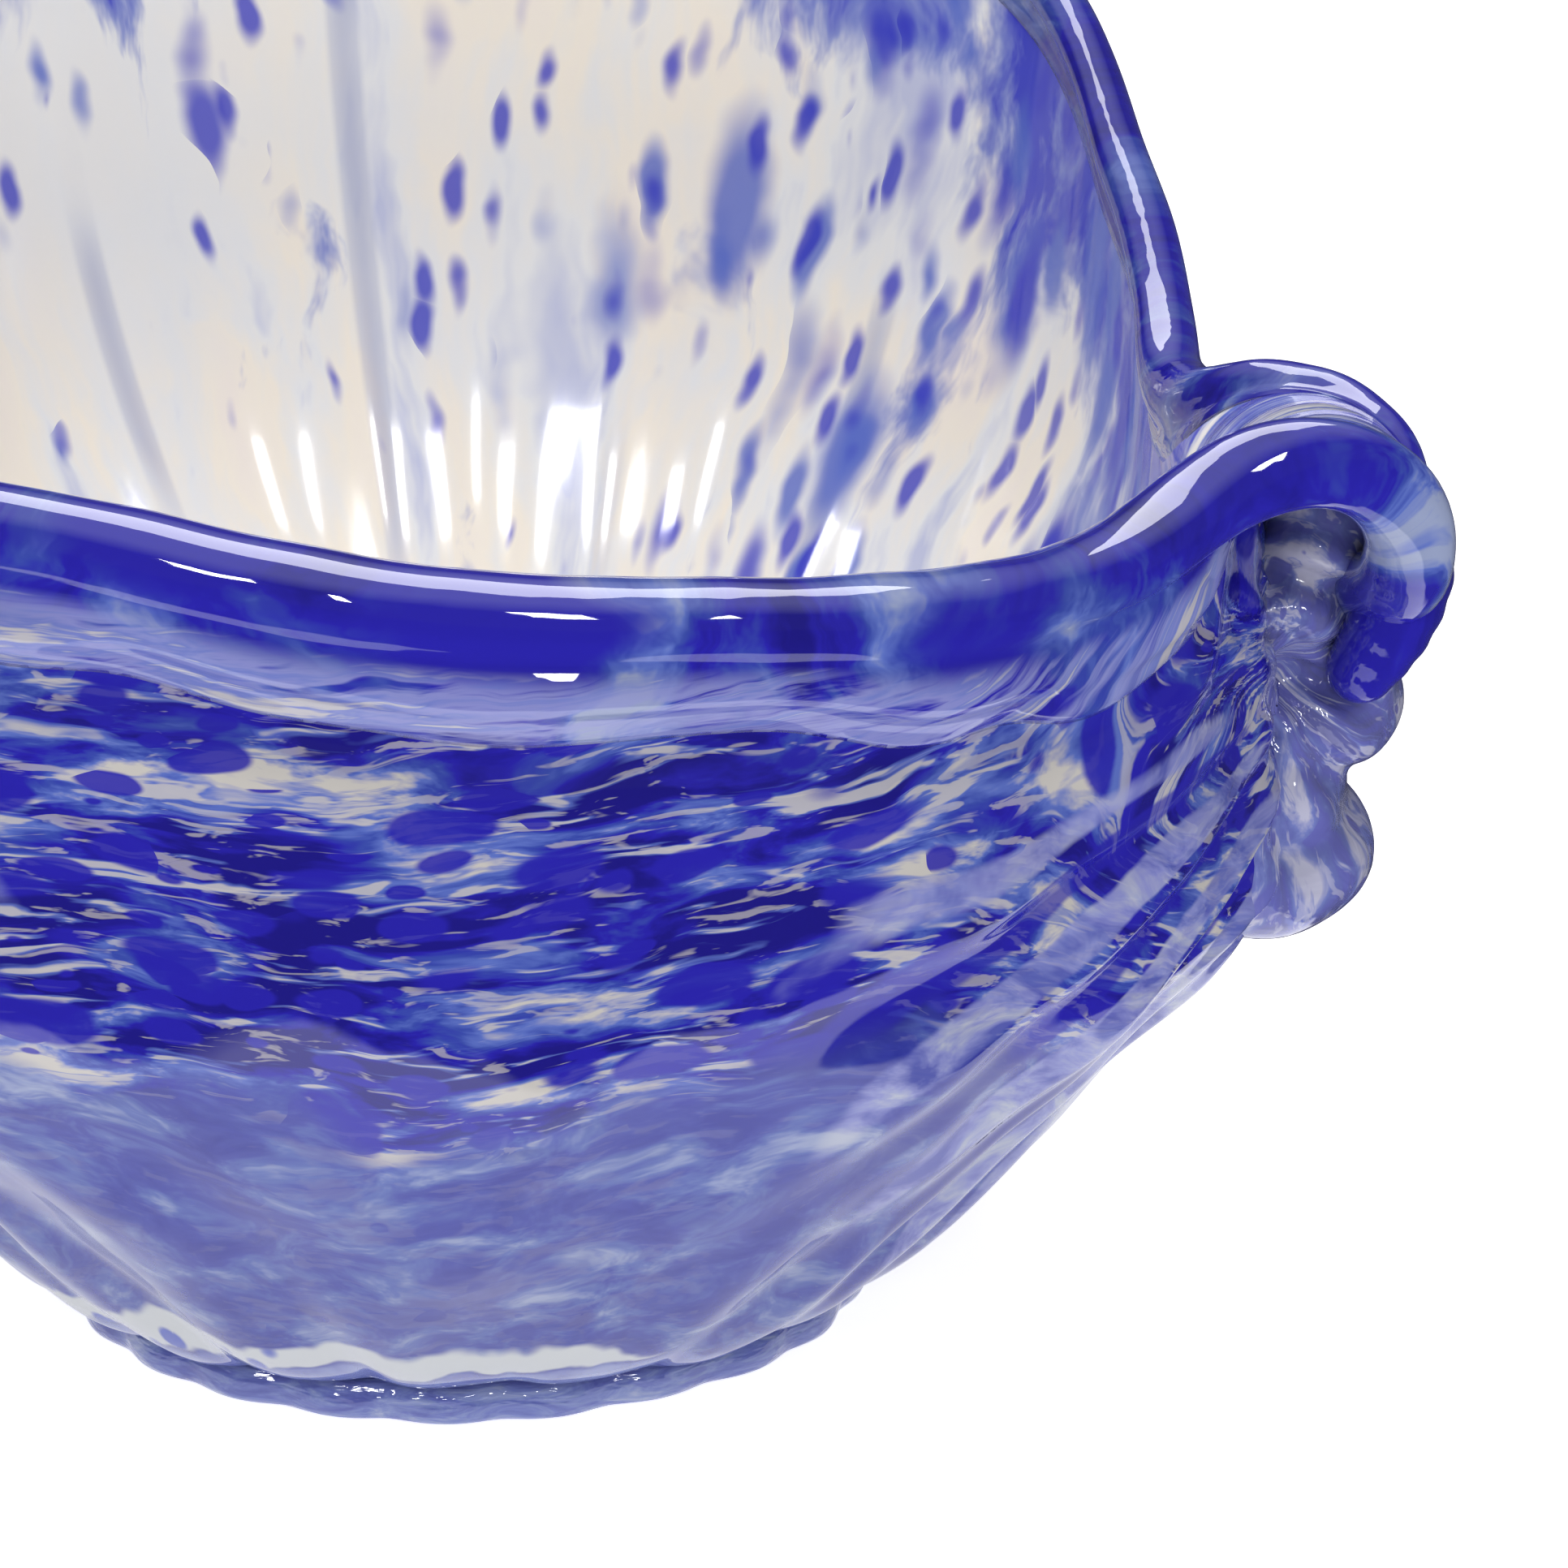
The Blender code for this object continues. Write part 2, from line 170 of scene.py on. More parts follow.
def gathered_turn(turn, share):
    """On the front, the flutes bend hard over towards the ears as they rise."""
    angle = plan_angle(turn, share)
    side = np.where(np.cos(angle) > 0.0, 1.0, -1.0)
    ear = np.where(side > 0, EARS[0], EARS[1])
    ear_turn = np.where(side > 0, EARS[0] / (2.0 * pi), 0.524)
    away = side * ((ear - angle + pi) % (2.0 * pi) - pi)
    reach = np.clip(away / (0.5 * pi - 0.15), 1e-4, 1.0)
    bent = ear_turn - side * 0.226 * reach ** (1.0 / 2.8)
    straight = (turn - ear_turn + 0.5) % 1.0 - 0.5 + ear_turn
    weight = smooth(share, 0.22, 0.60) * smooth(away, 0.0, 0.25) * smooth(-np.sin(angle), -0.05, 0.25)
    return blend(straight, bent, weight)


def flutes(turn, share):
    """Height of the flutes, with the gathered ones standing out more on the front flanks."""
    angle = plan_angle(turn, share)
    flank = at_ears(angle, 0.85) * (1.0 - at_ears(angle, 0.25)) * smooth(-np.sin(angle), 0.0, 0.3)
    upper = smooth(share, 0.30, 0.50) * smooth(share, 0.95, 0.82)
    stand = 1.0 + 0.4 * flank * upper
    return flute_wave(gathered_turn(turn, share)) * flute_depth(angle, share) * stand


def flute_depth(angle, share):
    depth = np.interp(share, [0.0, 0.30, 0.85, 1.0], [0.0013, 0.0013, 0.0022, 0.0012])
    low = 0.0009 * smooth(share, 0.17, 0.24) + 0.0013 * smooth(share, 0.22, 0.45)
    depth = np.where(share < 0.30, low, depth)
    depth = depth * (1.0 - 0.5 * at_ears(angle, 0.95) * smooth(share, 0.20, 0.30))
    flattened = (0.45 + 0.55 * smooth(np.sin(angle), -0.32, 0.02)) * at_ears(angle, 0.50, 3.0)
    return depth * (1.0 - flattened * smooth(share, 0.30, 0.52))


def plan_angle(turn, share):
    return 2.0 * pi * turn - GATHER * smooth(share, 0.22, 0.92) * np.sin(4.0 * pi * turn)


def full_length(turn):
    angle = plan_angle(turn, 1.0)
    return (upright_length(angle) + roll_length(angle)
            + SCALLOP * flute_wave(turn) * back_weight(angle))


def ripple(turn, along, seed, waves=9, finest=26.0, pitch=0.030):
    """A slow uneven height between about -1 and 1 that closes on itself round the bowl."""
    pick = np.random.default_rng(seed)
    total = 0.0
    for wave in range(waves):
        rounds = int(pick.integers(2, finest))
        rise = pick.uniform(-1.0, 1.0) * 2.0 * pi / pitch
        total = total + np.sin(2.0 * pi * rounds * turn + rise * along + pick.uniform(0, 2 * pi))
    return total / np.sqrt(waves)


PINCH_BELOW = 0.020
NECK = 0.128
FAN_RIDGES = 24.0


def around_pinch(angle, along):
    """Distance and direction from the nearer ear's pinch; direction 0 is straight down."""
    near = np.where(np.cos(angle) > 0.0, 0, 1)
    away = (angle - np.array(EARS)[near] + pi) % (2.0 * pi) - pi
    front = np.where(near == 0, -away, away)
    across, down = NECK * front, upright_length(angle) - PINCH_BELOW - along
    return np.hypot(across, down) + 1e-6, np.arctan2(across, down)


def fans(angle, along):
    """Phase of the pinched ridges round the pinch, and how strongly they show."""
    reach, fan = around_pinch(angle, along)
    phase = FAN_RIDGES * (fan + 0.06 * np.sin(38.0 * reach + 2.0) + 0.03 * np.sin(95.0 * reach))
    sector = smooth(fan, -0.5, 0.15) * smooth(fan, 1.60, 1.25)
    return phase, sector * smooth(reach, 0.018, 0.045) * smooth(reach, 0.150, 0.100)


def ridge_light_and_shade(turn, share):
    """-1 to 1 across each pinched ridge on the front flanks, and 0 everywhere else: where the ridges get
    painted light and painted shade.
    """
    phase, strength = fans(plan_angle(turn, share), share * full_length(turn))
    return strength * np.sin(phase + 0.9)


def fold_edge(turn):
    """How far below the rim the soft fold under the wrap lies."""
    level = turn * 0.0
    return 0.0150 + 0.0026 * ripple(turn, level, 8, 5, 9.0) + 0.0012 * ripple(turn, level, 9, 5, 40.0)


RIPPLE, FOLD, CREST, RIDGE, PUCKER = 0.0006, 0.0011, 0.0010, 0.0010, 0.0009
INNER_RIPPLE = 0.00030


def outer_relief(turn, along):
    """Ripples, the fold under the rim and the pinched ridges on the outside of the wall."""
    full = full_length(turn)
    share = along / full
    angle = plan_angle(turn, share)
    waves = RIPPLE * ripple(turn, along, 5) + RIPPLE * ripple(turn, along, 6, 5, 9.0, 0.070)
    lift = smooth(share, 0.20, 0.36) * waves
    below, edge = full - along, fold_edge(turn)
    away_from_ears = 1.0 - 0.85 * at_ears(angle, 0.42)
    fold = np.exp(-((below - edge - 0.0045) / 0.0032) ** 2) * away_from_ears
    crest = np.exp(-((below - edge - 0.0125) / 0.0055) ** 2) * away_from_ears
    reach, fan = around_pinch(angle, along)
    phase, strength = fans(angle, along)
    wide = (np.cos(phase) + 0.35 * np.cos(53.0 * fan + 1.0)) * strength
    fine = np.cos(17.0 * fan + 2.2 * np.sin(110.0 * reach))
    fine = fine * np.exp(-(reach / 0.034) ** 2) * smooth(reach, 0.003, 0.014)
    return lift - FOLD * fold + CREST * crest + RIDGE * wide + PUCKER * fine


def inner_relief(turn, along):
    share = along / full_length(turn)
    return smooth(share, 0.15, 0.4) * INNER_RIPPLE * ripple(turn, along, 11, 9, 24.0, 0.080)


print("rim length of glass, mm:", [round(1000 * float(full_length(np.array(t)))) for t in (0.25, 0.75)])

# %% [markdown]
# ## Blowing a sheet
#
# Each layer starts as a flat grid, added with the grid primitive. Its columns become stations
# round the bowl and its rows become rings that run out from the floor's middle along one face,
# over the rim, and back along the other face. Carrying the grid's corners to those places
# gives the layer its walls and its thickness in one closed skin. The seam and the two poles
# are then merged. Three attributes are kept for the finishes: where each point lies in the
# flow of the glass, how far it is below the rim, and where it lies across a flute or a ridge.

# %% Helpers that start, shape and close a grid
def deselect():
    bpy.ops.object.select_all(action="DESELECT")


def only(piece):
    deselect()
    piece.select_set(True)
    bpy.context.view_layer.objects.active = piece


def close_and_smooth(piece):
    """Merge the seam and poles, point the faces outwards, and shade smooth."""
    only(piece)
    bpy.ops.object.mode_set(mode="EDIT")
    bpy.ops.mesh.select_all(action="SELECT")
    bpy.ops.mesh.remove_doubles(threshold=0.000002)
    bpy.ops.mesh.normals_make_consistent(inside=False)
    bpy.ops.object.mode_set(mode="OBJECT")
    bpy.ops.object.shade_smooth()


def grid_piece(name, columns, rows):
    """A flat grid of columns by rows corners; corner order is row by row."""
    deselect()
    bpy.ops.mesh.primitive_grid_add(x_subdivisions=columns - 1, y_subdivisions=rows - 1,
                                    size=1.0, location=(0.0, 0.0, 0.0))
    piece = bpy.context.active_object
    piece.name = piece.data.name = name
    return piece


def set_places(piece, places, flow, below, groove=None):
    """Carry every corner to its place and keep where it lies in the glass."""
    groove = below * 0.0 if groove is None else groove
    mesh = piece.data
    mesh.vertices.foreach_set("co", np.ascontiguousarray(places, dtype=np.float32).ravel())
    for label, kind, values in (("flow", "FLOAT_VECTOR", flow), ("below", "FLOAT", below),
                                ("groove", "FLOAT", groove)):
        layer = mesh.attributes.new(label, kind, "POINT")
        key = "vector" if kind == "FLOAT_VECTOR" else "value"
        layer.data.foreach_set(key, np.ascontiguousarray(values, dtype=np.float32).ravel())
    mesh.update()


FLOW_RADIUS = 0.115
EAR_CLIMB = 0.024


def flow_place(turn, along):
    """The glass laid out as a tall tube, bent into rings and fans round each pinch."""
    angle = plan_angle(turn, 0.9)
    reach, fan = around_pinch(angle, along)
    along = along - EAR_CLIMB * at_ears(angle, 0.95) * smooth(along, 0.085, 0.135)
    near = np.exp(-(reach / 0.056) ** 2)
    rings = smooth(fan * np.sign(fan), 1.1, 1.9)
    level = along * (1.0 - near) + near * (0.16 + blend(0.030 * fan, -reach, rings))
    return np.stack([FLOW_RADIUS * np.cos(2.0 * pi * turn), FLOW_RADIUS * np.sin(2.0 * pi * turn),
                     level], axis=-1)


def skin(turn, along, offset, relief=None):
    """Points of one skin of the wall; offset may differ from point to point."""
    share = along / full_length(turn)
    angle = plan_angle(turn, share)
    point, normal, _ = wall(angle, along)
    height = flutes(turn, share) + offset
    if relief is not None:
        height = height + relief(turn, along)
    return point + normal * height[:, None]


def wall_layer(name, seen, seen_relief, hidden, lines, columns=577, seen_rows=144, hidden_rows=22):
    """A closed layer: seen skin from pole to rim, then the hidden skin back to the pole."""
    rows = seen_rows + hidden_rows
    places, flow = np.zeros((rows, columns, 3)), np.zeros((rows, columns, 3))
    below, groove = np.zeros((rows, columns)), np.zeros((rows, columns))
    for column in range(columns):
        turn = (column % (columns - 1)) / (columns - 1)
        full = float(full_length(np.array(turn)))
        out = full * np.linspace(0.0, 1.0, seen_rows) ** 0.92
        back = full * np.linspace(1.0, 0.0, hidden_rows)
        along = np.concatenate([out, back])
        turns = np.full(rows, turn)
        places[:seen_rows, column] = skin(turns[:seen_rows], out, np.full(seen_rows, seen), seen_relief)
        places[seen_rows:, column] = skin(turns[seen_rows:], back, np.full(hidden_rows, hidden))
        flow[:, column] = flow_place(turns, along)
        below[:, column] = full - along
        groove[:, column] = lines(turns, along / full)
    piece = grid_piece(name, columns, rows)
    set_places(piece, places, flow, below, groove)
    close_and_smooth(piece)
    print(name, "faces:", len(piece.data.polygons))
    return piece


# %% The two layers of the wall
casing = wall_layer("casing_glass", CASING_THICKNESS, outer_relief, 0.0003, ridge_light_and_shade)
lining = wall_layer("lining_glass", -LINING_THICKNESS, inner_relief, -0.0003,
                    lambda turn, share: flute_wave(turn))

# %% [markdown]
# ## The rim wrap
#
# A thick cord of cobalt was trailed round the hot rim and melted in, so it is round on top
# and runs into the wall with a soft fillet below, deeper outside than inside. A curve with a
# round bevel would sit on the wall like a hose. Here the section is worked out in the wall's
# own coordinates, along the glass and away from it, so it follows the ears when they roll.

# %% Section of the wrap and the wrap itself
WRAP_FRONT, WRAP_BACK = 0.0066, 0.0050
INNER_SKIRT = 0.0045
FILLET = 0.16


def wrap_radius(turn):
    angle = plan_angle(turn, 1.0)
    plain = blend(WRAP_FRONT, WRAP_BACK, smooth(np.sin(angle), -0.2, 0.8))
    lumps = 1.0 + 0.035 * ripple(turn, turn * 0.0, 21, 7, 17.0)
    return plain * (lumps + 0.018 * ripple(turn, turn * 0.0, 22, 5, 60.0))


def side_height(reach, radius, wall_half, roll=0.0, edge=0.0):
    """Height of the wrap beside the wall at a reach below the rim's centre."""
    part = reach / radius
    cord = np.where(part < 1.0, np.sqrt(np.clip(1.0 - part ** 2, 0.0, 1.0)), -(part - 1.0) * 1.6)
    cord = wall_half + radius * FILLET * np.logaddexp(0.0, (cord - wall_half / radius) / FILLET)
    under = wall_half + roll * smooth(reach, 0.002, 0.006) * smooth(reach, edge + 0.0012, edge - 0.0045)
    return np.maximum(cord, under) + 0.0006 * np.exp(-((cord - under) / 0.0008) ** 2)


def wrap_section(turn, points=22):
    """Along and away-from-wall coordinates of the section, round its closed outline."""
    radius, edge = float(wrap_radius(np.array(turn))), float(fold_edge(np.array(turn)))
    angle = plan_angle(turn, 1.0)
    roll = 0.0030 * float(1.0 - 0.75 * at_ears(angle, 0.42)) * float(1.0 - 0.45 * back_weight(angle))
    low = edge + 0.0030
    out_reach = np.linspace(low, 0.0, points)
    out_height = side_height(out_reach, radius, CASING_THICKNESS, roll, edge)
    twist = ripple(np.array(turn), 0.7 * out_reach, 31, 9, 34.0, 0.010)
    twist = twist * float(1.0 - 0.85 * at_ears(angle, 0.42)) + 0.5
    out_height = (out_height + 0.00070 * twist * smooth(out_reach, 0.003, 0.008)
                  * smooth(out_reach, low, edge))
    out_height = out_height - 0.0006 * smooth(out_reach, low - 0.0016, low)
    over = np.linspace(0.5 * pi, -0.5 * pi, 13)[1:-1]
    in_reach = np.linspace(0.0, radius + INNER_SKIRT, 13)
    in_height = side_height(in_reach, radius, LINING_THICKNESS)
    in_height = in_height - 0.0005 * smooth(in_reach, radius + INNER_SKIRT * 0.45, radius + INNER_SKIRT)
    centre, half = 0.5 * (out_height[-1] - in_height[0]), 0.5 * (out_height[-1] + in_height[0])
    reach = np.concatenate([out_reach, -radius * np.cos(over), in_reach,
                            [radius * 0.4, -0.0008, -0.0008, radius * 0.4]])
    away = np.concatenate([out_height, centre + half * np.sin(over), -in_height,
                           [-0.0022, -0.0022, 0.0028, 0.0028]])
    return reach, away


def make_wrap(columns=769):
    count = len(wrap_section(0.0)[0]) + 1
    places, flow = np.zeros((count, columns, 3)), np.zeros((count, columns, 3))
    for column in range(columns):
        turn = (column % (columns - 1)) / (columns - 1)
        reach, away = wrap_section(turn)
        full = float(full_length(np.array(turn)))
        along = np.minimum(full - reach, full)
        turns = np.full(len(along), turn)
        share = along / full
        angle = plan_angle(turns, share)
        point, normal, upward = wall(angle, along)
        wave = flutes(turns, share)
        relief = outer_relief(turns, along) * smooth(reach, 0.0, 0.008) * (away > 0)
        place = point + normal * (away + wave + relief)[:, None]
        place = place + upward * np.maximum(-reach, 0.0)[:, None]
        places[:-1, column], flow[:-1, column] = place, flow_place(turns, full - reach)
        places[-1, column], flow[-1, column] = place[0], flow[0, column]
    piece = grid_piece("rim_wrap", columns, count)
    around = np.repeat(np.linspace(0.0, 1.0, count)[:, None], columns, axis=1)
    set_places(piece, places, flow, around)
    close_and_smooth(piece)
    print("rim_wrap faces:", len(piece.data.polygons))
    return piece


rim_wrap = make_wrap()

# %% [markdown]
# ## The crimped bits under the ears
#
# A bit is hot glass dropped on the wall and pinched with tweezers: two round lobes, a plug that
# fills the hollow of the rolled ear, and creases that run from the pinch. It could be cut from
# one grid, but lobes that overhang want real lumps. So round lumps are put where the glass
# gathers, with a thin leaf of the wall under them, and a voxel remesh and a smooth melt them
# together with soft fillets. What went through the wall is brought back between its layers.
# The creases are pressed in last, by moving the corners.

# %% Lumps, the leaf under them, and the melt
# place x, y, z and half sizes, in millimetres, for the ear on the right
LOBE_LUMPS = (((126.0, -8.0, 99.5), (21.0, 29.0, 13.5)), ((124.0, -12.0, 75.5), (18.6, 29.0, 13.0)),
              ((119.0, -14.0, 88.0), (20.0, 28.0, 15.0)))
PLUG_LUMPS = (((131.5, -17.0, 129.5), (12.0, 19.0, 11.5)), ((126.0, -17.0, 116.0), (13.5, 20.0, 11.0)),
              ((133.0, -12.0, 112.0), (10.5, 18.0, 12.0)))
MELT_VOXEL = 0.0008


def lump(place, half, side):
    deselect()
    bpy.ops.mesh.primitive_uv_sphere_add(
        segments=40, ring_count=24, radius=1.0, scale=[0.001 * h for h in half],
        location=(0.001 * place[0] * side, 0.001 * place[1], 0.001 * place[2]))
    bpy.ops.object.transform_apply(location=True, rotation=True, scale=True)
    return bpy.context.active_object


def melt(name, pieces, voxel, rounds):
    """Join pieces, remesh them into one skin, and let the joins soften."""
    deselect()
    for piece in pieces:
        piece.select_set(True)
    bpy.context.view_layer.objects.active = pieces[0]
    bpy.ops.object.join()
    piece = bpy.context.active_object
    piece.name = piece.data.name = name
    remesh = piece.modifiers.new("melt", "REMESH")
    remesh.mode, remesh.voxel_size = "VOXEL", voxel
    soften = piece.modifiers.new("soften", "SMOOTH")
    soften.factor, soften.iterations = 0.5, rounds
    for label in ("melt", "soften"):
        bpy.ops.object.modifier_apply(modifier=label)
    bpy.ops.object.shade_smooth()
    return piece


def corners(piece, label="co"):
    """The corners' places, or the way they face with the label "normal"."""
    values = np.zeros(3 * len(piece.data.vertices), dtype=np.float32)
    piece.data.vertices.foreach_get(label, values)
    return values.reshape(-1, 3).astype(float)


def wall_leaf(centre_turn, columns=61, rows=49):
    """A thin leaf of the wall that sinks under the casing all round its edge."""
    u, v = np.meshgrid(np.linspace(-1.0, 1.0, columns), np.linspace(0.0, 1.0, rows))
    turn = (centre_turn + 0.088 * u.ravel()) % 1.0
    along = 0.140 + 0.072 * v.ravel()
    share = along / full_length(turn)
    point, normal, _ = wall(plan_angle(turn, share), along)
    edge = np.maximum(np.abs(u.ravel()), np.abs(2.0 * v.ravel() - 1.0))
    top = (CASING_THICKNESS + flutes(turn, share)
           + outer_relief(turn, along) + 0.0009 - 0.0040 * smooth(edge, 0.66, 0.92))
    high = (point + normal * top[:, None]).reshape(rows, columns, 3)
    low = (point + normal * (top - 0.0017)[:, None]).reshape(rows, columns, 3)
    piece = grid_piece("leaf", columns + 2, 2 * rows)
    places = np.concatenate([high, low[::-1]])
    places = np.concatenate([places[:, :1], places, places[:, -1:]], axis=1)
    places[:, 0] = 0.5 * (places[:, 0] + places[::-1, 0])
    places[:, -1] = 0.5 * (places[:, -1] + places[::-1, -1])
    rim = places[[0, -1]].mean(axis=0)
    places[0], places[-1] = rim, rim
    piece.data.vertices.foreach_set("co", np.ascontiguousarray(places, dtype=np.float32).ravel())
    close_and_smooth(piece)
    return piece


# %% Trim a bit back to the middle of the wall
def trim_to_wall(piece, centre_turn, columns=61, rows=61):
    """Bring every corner that went through the wall back between the two layers."""
    turn, along = np.meshgrid(centre_turn + np.linspace(-0.13, 0.13, columns),
                              np.linspace(0.10, 0.225, rows))
    turn, along = turn.ravel() % 1.0, along.ravel()
    middle = skin(turn, along, np.zeros(len(turn)))
    first = (np.arange(rows - 1)[:, None] * columns + np.arange(columns - 1)[None, :]).ravel()
    quads = np.stack([first, first + 1, first + columns + 1, first + columns], axis=1)
    tree = BVHTree.FromPolygons([Vector(p) for p in middle], quads.tolist())
    _, outward, _ = wall(plan_angle(turn, along / full_length(turn)), along)
    moved = 0
    for vertex in piece.data.vertices:
        place, _, face, _ = tree.find_nearest(vertex.co)
        out = Vector(outward[quads[face][0]])
        if (vertex.co - place).dot(out) < 0.0:
            vertex.co = place
            moved += 1
    piece.data.update()
    print(piece.name, "corners brought back to the wall:", moved)


# %% The two bits
PINCH_PLACE = np.array([0.1225, -0.036, 0.1105])


def crease(piece, side, seed):
    """Press creases that fan out from the pinch, and lay the flow round it."""
    places, facing = corners(piece), corners(piece, "normal")
    out = (places - PINCH_PLACE * [side, 1.0, 1.0]) * [side, 1.0, 1.0]
    reach, fan = np.hypot(out[:, 0], out[:, 2]) + 1e-6, np.arctan2(out[:, 0], -out[:, 2])
    far = np.linalg.norm(out, axis=1)
    lower = smooth(np.abs(fan), 2.2, 1.5)
    swerve = 2.6 * np.sin(85.0 * reach + seed)
    ridges = np.cos(11.0 * fan + swerve + 1.2 * np.sin(140.0 * out[:, 1])) * lower
    rings = np.cos(2.0 * pi * reach / 0.0085 + 1.5 * np.sin(2.0 * fan)) * (1.0 - lower)
    grain = np.sin(190.0 * out[:, 0] + 90.0 * out[:, 1] + seed)
    grain = grain * np.sin(150.0 * out[:, 2] - 60.0 * out[:, 1])
    height = 0.0012 * ridges * smooth(reach, 0.003, 0.012) * np.exp(-(far / 0.040) ** 2)
    height = height + 0.0007 * rings + 0.0004 * grain - 0.0022 * np.exp(-(far / 0.0100) ** 2)
    places = places + facing * height[:, None]
    turned = blend(np.stack([out[:, 1], -reach, 0.030 * fan]), np.stack([out[:, 1], 0.030 * fan, reach]),
                   1.0 - lower)
    set_places(piece, places, turned.T + [0.0, 0.0, 0.14 + seed], far)
    print(piece.name, "faces:", len(piece.data.polygons))


def make_bit(name, centre_turn, side, seed):
    pieces = [wall_leaf(centre_turn)]
    pieces += [lump(place, half, side) for place, half in LOBE_LUMPS + PLUG_LUMPS]
    piece = melt(name, pieces, MELT_VOXEL, 10)
    trim_to_wall(piece, centre_turn)
    crease(piece, side, seed)
    return piece


right_bit = make_bit("right_crimped_bit", 0.985, 1.0, 0.0)
left_bit = make_bit("left_crimped_bit", 0.515, -1.0, 0.4)

# %% [markdown]
# ## Tails of the cord
#
# At the drooping end of each ear the cord was cut off with shears and pressed down on to the
# bit, so it ends in a round, thick tail. It is melted from a chain of round lumps.

# %% The two tails
TAIL = ((144.2, -33.5, 128.0, 6.5), (143.9, -33.5, 124.0, 6.8), (142.9, -33.3, 120.0, 6.8),
        (141.3, -32.8, 116.0, 6.6), (139.4, -32.0, 112.3, 6.2), (137.6, -31.3, 109.0, 5.5))


def make_tail(name, side):
    pieces = [lump(bead[:3], [bead[3]] * 3, side) for bead in TAIL]
    piece = melt(name, pieces, 0.0007, 12)
    places = corners(piece)
    flow = places * [1.0, 1.0, 0.4]
    set_places(piece, places, flow, places[:, 2] * 0.0 + 1.0)
    print(name, "faces:", len(piece.data.polygons))
    return piece


right_tail = make_tail("right_rim_tail", 1.0)
left_tail = make_tail("left_rim_tail", -1.0)

# %% [markdown]
# ## The foot pad
#
# The pad was dropped on the hot base and pressed with the same ribbed former, so its edge is
# lobed and round, and its underside was ground flat afterwards.

# %% Profile of the pad and the pad
PAD_RADIUS, PAD_REST = 0.0655, 0.0585


def make_pad(columns=385):
    turns = np.arange(columns) % (columns - 1) / (columns - 1)
    lobes = 0.0009 * flute_wave(turns) + 0.0006 * ripple(turns, turns * 0.0, 41, 5, 12.0)
    top_along = np.array([0.0, 0.022, 0.044, 0.056, 0.0615])
    rows = []
    for along in top_along:
        rows.append(skin(turns, np.full(columns, along), np.full(columns, CASING_THICKNESS + 0.0002)))
    way = np.stack([np.cos(2 * pi * turns), np.sin(2 * pi * turns), 0 * turns], axis=-1)
    for step in np.linspace(0.0, 1.0, 13):
        swing = 0.62 * pi * step
        radius = PAD_RADIUS - 0.0032 + 0.0032 * np.sin(0.30 + swing) + lobes
        height = 0.0034 + 0.0036 * np.cos(0.30 + swing) - 0.0004 * step
        rows.append(way * radius[:, None] + np.array([0.0, 0.0, max(height, 0.0)]))
    for radius in (PAD_REST + 0.002, PAD_REST, 0.030, 0.0):
        rows.append(way * (radius + lobes * radius / PAD_REST)[:, None])
    places = np.array(rows)
    count = len(rows)
    level = np.repeat(np.linspace(0.0, 0.08, count)[:, None], columns, axis=1)
    flow = flow_place(np.tile(turns, count), level.ravel())
    piece = grid_piece("pale_foot", columns, count)
    set_places(piece, places, flow, level)
    close_and_smooth(piece)
    print("pale_foot lowest point, mm:", round(1000 * min(v.co.z for v in piece.data.vertices), 3))
    return piece


pale_foot = make_pad()

# %% [markdown]
# ## Put the pieces on the frame
#
# The bowl is one rigid body, so every piece rides the root. Each new piece takes the place of
# the CAD node it refines, and the two tails only ride the root.

# %% Ride and replace
for piece, node in ((lining, "inner_lining"), (casing, "outer_casing"), (rim_wrap, "lip_wrap"),
                    (right_bit, "right_ear_bit"), (left_bit, "left_ear_bit"), (pale_foot, "foot_pad")):
    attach(piece, "root")
    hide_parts(node)
for piece in (right_tail, left_tail):
    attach(piece, "root")
print("pieces on the frame:", 8)

# %% [markdown]
# ## Finishes
#
# Every colour in the bowl was laid on hot: the gather is rolled in crushed glass, reheated and
# drawn out, so chips become specks, specks become threads, and the threads follow the way the
# glass moved. Patterns painted from plain object coordinates would cut straight through that.
# These read the flow attribute instead, where one direction is round the bowl and the other
# is along the glass, and stretch the noise the way each layer was pulled.

# %% A small recipe book for glass finishes


def add_node(tree, kind, inputs=None, **settings):
    """A node with its settings; an input is given a value, or a socket to be linked to."""
    made = tree.nodes.new("ShaderNode" + kind)
    for key, value in settings.items():
        setattr(made, key, value)
    for key, value in (inputs or {}).items():
        if isinstance(value, bpy.types.NodeSocket):
            tree.links.new(value, made.inputs[key])
        else:
            made.inputs[key].default_value = value
    return made


